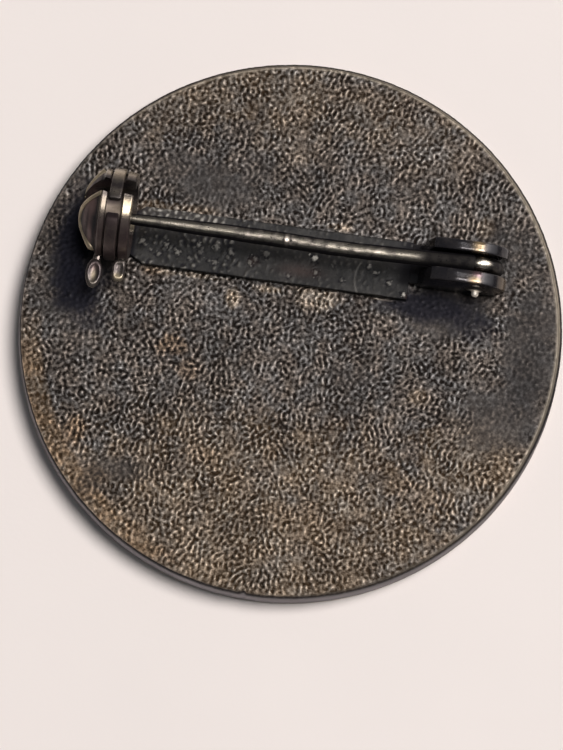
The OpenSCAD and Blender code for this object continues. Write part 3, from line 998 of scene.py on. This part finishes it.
def rolled_edges():
    """The rolled edges of the dome's wings: one along the slot and round to the lower side, and a hook above."""
    near = SLOT_W / 2 + 0.05
    wing, down = [], []
    for share in (1, 0.93, 0.86, 0.79, 0.72, 0.65, 0.58, 0.51):
        r = share * DOME_R
        wing.append((seen_from_end(r, -SLOT_TURN + asin((SLOT_W / 2 + 0.02) / r)), 1.0))
    for k, size in ((0.3, 1.0), (0.4, 1.0), (0.5, 1.05), (0.65, 1.3), (0.8, 1.8), (0.9, 1.6), (0.97, 0.4)):
        down.append((seen_from_end(0.98 * DOME_R - (DOME_R - near) * (1 - k), radians(76 + 4 * k)), size))
    a, b, c = wing[-1][0], seen_from_end(near, radians(98) - SLOT_TURN), down[0][0]
    sweep = [(a * (1 - t) ** 2 + b * 2 * t * (1 - t) + c * t * t, 1.0)
             for t in (0.12, 0.25, 0.37, 0.5, 0.63, 0.75, 0.88)]
    edge = [(on_dome(1 - q.length / DOME_R, atan2(q.x, q.y)), size) for q, size in wing + sweep + down]
    hook = [(on_dome(k, -radians(78 - 10 * k), -0.02), 1.15 - 1.2 * k) for k in (0.02, 0.12, 0.22, 0.32, 0.42, 0.52)]
    hook.append((on_dome(0.66, -radians(71), -0.06), 0.1))
    return bead("rolled_edge", edge, 0.105), bead("hook_edge", hook, 0.17)


def flange(middle, wide):
    """The profile of one beaded flange."""
    half = wide / 2
    return [(r, middle + z) for r, z in (
        (1.9, half), (1.97, half), (2.01, half - 0.025), (2.03, half - 0.06), (2.038, half - 0.09),
        (FLANGE_R - 0.008, 0.10 - half), (FLANGE_R, 0.07 - half), (2.055, 0.025 - half), (2.0, -half), (1.9, -half))]


def cut_slot(sleeve):
    """Saws the sleeve open along its whole length, for the pin to pass."""
    saw = rod("saw", 48, SLOT_W / 2, 6, (BAND_X, PIN_Y, PIN_Z), "X")
    edit()
    pick("FACE", lambda m, n: n.z > 0.02 and abs(n.x) < 0.1)
    bpy.ops.mesh.extrude_region_move(TRANSFORM_OT_translate={"value": (0, 0, 3)})
    leave()
    axis = Vector((0, PIN_Y, PIN_Z))
    reshape(saw, lambda p: Matrix.Rotation(-SLOT_TURN, 3, "X") @ (p - axis) + axis)
    hold(sleeve)
    apply("BOOLEAN", object=saw, operation="DIFFERENCE", solver="EXACT")
    bpy.data.objects.remove(saw)


def catch_sleeve(finish):
    """The turning sleeve: two beaded flanges, a slotted dome with rolled edges, and two thumb tabs."""
    end, left_end = GROOVE + RIGHT_FLANGE, -GROOVE - LEFT_FLANGE
    right = flange(GROOVE + RIGHT_FLANGE / 2, RIGHT_FLANGE)
    left = flange(-GROOVE - LEFT_FLANGE / 2, LEFT_FLANGE)
    outside = (0.95, 0.9, 0.84, 0.78, 0.71, 0.65, 0.58, 0.52, 0.4, 0.28, 0.16, 0.06, 0.0)
    inside = (0.0, 0.1, 0.25, 0.4, 0.55, 0.7, 0.85, 1.0)
    profile = [(BORE_R, end)] + right + [(SLEEVE_R, GROOVE), (SLEEVE_R, -GROOVE)] + left
    profile += [(DOME_R * k, left_end - dome_bulge(k)) for k in outside]
    profile += [(BORE_R * k, 0.22 + left_end - dome_bulge(k)) for k in inside] + [(BORE_R, end)]
    sleeve = turned("sleeve", profile, 96, "X", (BAND_X, PIN_Y, PIN_Z))
    cut_slot(sleeve)
    soften(0.035, 2, 55)
    edges = rolled_edges()

    def shade(p):
        """The dome painted dark as shade with brown streaks, the groove painted dim with a painted highlight along its
        top, painted gold highlights on the flanges between sides painted dark as shade, and a few bright flecks.
        """
        if p.x < BAND_X + left_end - 0.02:
            streak = 0.5 + 0.9 * uneven(p.x * 4, p.y * 0.9, 2)
            return 0.0, 0.92 - 0.15 * ramp(streak, 0.4, 0.8), 0.75 * ramp(streak, 0.3, 0.8)
        if abs(p.x - BAND_X) < GROOVE + 0.02:
            # A painted highlight along the groove's top; the rest of the groove is painted dim as shade.
            top = 0.22 * ramp(0.4 - abs(p.y - PIN_Y + 0.1), 0, 0.3)
            return top * (0.6 + 0.5 * ramp(p.x, BAND_X, BAND_X + 0.2)), 0.72, 0.2
        below = ramp(PIN_Y - 0.1 - p.y, 0, 0.7)
        above = ramp(p.y, PIN_Y + 0.8, PIN_Y + 1.1) * ramp(1.7 - p.y + PIN_Y, 0, 0.2)
        # Painted gold highlights along the flanges' tops and far upper side, painted shade below and above.
        gold = (0.75 if p.x > BAND_X else 0.2) * ramp(0.5 - abs(p.y - PIN_Y), 0, 0.3)
        gold += 0.35 * ramp(p.y - PIN_Y, 1.5, 1.75)
        flecks = spot(p, -7.96, 2.01, 0.09, 0.07) + spot(p, -8.83, 1.91, 0.06, 0.06)
        return max(gold, 0.8 * flecks), max(0.7 * below, 0.65 * above), 0.3 * below

    def tab_shade(p):
        # Painted gold highlights on each tab, and a pink tint on the left one.
        worn = max(0.6 * spot(p, -9.2, 0.80, 0.10, 0.24), spot(p, -8.09, 0.85, 0.20, 0.15))
        return worn, 0.4, 0.5 * spot(p, -9.2, 1.2, 0.2, 0.2)

    paint(sleeve, shade)
    # The rolled edges are painted light all along as a broad painted highlight.
    for edge in edges:
        paint(edge, lambda p: (0.62 + 0.3 * noise.noise(p * 3), 0.75, 0.0))
    tabs = [thumb_tab(-9.215, reach=3.56, wide=0.76, length=1.42, square=2.0, root=-9.08, dish=0.11),
            thumb_tab(-8.095, reach=3.1, wide=0.6, length=1.08, square=3.6, root=-8.02, dish=0.09)]
    for tab in tabs:
        paint(tab, tab_shade)
    return hand_in(unite(sleeve, *edges, *tabs), "catch", finish, "catch_rotor")


def enamel_field(finish):
    """The front's enamel: flat and polished, drawn up a little where it meets the rim."""
    edge = RECESS_R - 0.03
    profile = [(0.0, RECESS), (edge, RECESS), (edge, 0.045), (edge - 0.05, 0.05), (edge - 0.15, 0.075),
               (edge - 0.4, 0.085), (9.0, 0.075), (6.0, 0.068), (3.0, 0.062), (0.0, 0.06)]
    field = turned("enamel", profile, 160)
    return hand_in(field, "badge", finish, "enamel_field")


def lay_paper(finish):
    """The sheet of paper that the badge lies on."""
    put_down()
    bpy.ops.mesh.primitive_plane_add(size=2.4, location=(0, 0, 0))
    paper = take("paper")
    paper.data.materials.append(finish)


across, upward = set_camera()
set_lights(across, upward)
tarnish = tarnish_group()
bar_metal = fitting_finish(
    "bar_metal", tarnish, clean=(0.025, 0.0225, 0.0205), dark=(0.014, 0.013, 0.0125), share=0.5, roughness=0.48,
    worn=(0.62, 0.58, 0.52), stain_and_sheen_tint=(0.070, 0.036, 0.028), metallic=0.0, glint=0.2)
dark_metal = fitting_finish(
    "dark_fitting", tarnish, clean=(0.050, 0.044, 0.044), dark=(0.024, 0.022, 0.025), share=0.55, roughness=0.10,
    worn=(0.40, 0.28, 0.15), stain_and_sheen_tint=(0.22, 0.12, 0.13), scale=1.8, depth=0.003, metallic=0.45)
sleeve_metal = fitting_finish(
    "catch_metal", tarnish, clean=(0.20, 0.168, 0.140), dark=(0.080, 0.064, 0.062), share=0.5, roughness=0.22,
    worn=(0.50, 0.41, 0.28), stain_and_sheen_tint=(0.125, 0.075, 0.070), scale=1.6, depth=0.004, metallic=0.72)
pin_metal = fitting_finish(
    "pin_steel", tarnish, clean=(0.25, 0.225, 0.185), dark=(0.10, 0.09, 0.08), share=0.40, roughness=0.38,
    worn=(0.90, 0.78, 0.68), scale=2.2, depth=0.016)
loop_metal = fitting_finish(
    "loop_steel", tarnish, clean=(0.20, 0.18, 0.155), dark=(0.06, 0.055, 0.055), share=0.5, roughness=0.24,
    worn=(0.80, 0.70, 0.58), scale=2.6)
rivet_metal = fitting_finish(
    "rivet_metal", tarnish, clean=(0.30, 0.27, 0.23), dark=(0.08, 0.07, 0.065), share=0.45, roughness=0.30,
    worn=(0.95, 0.88, 0.78), scale=3.0, depth=0.006)

struck_plate(pebbled_finish())
flat_bar(bar_metal)
joint_ears(dark_metal)
catch_housing(sleeve_metal)
joint_rivet(rivet_metal)
pin_wire(pin_metal, loop_metal)
catch_sleeve(sleeve_metal)
enamel_field(enamel_finish())
lay_paper(paper_finish())
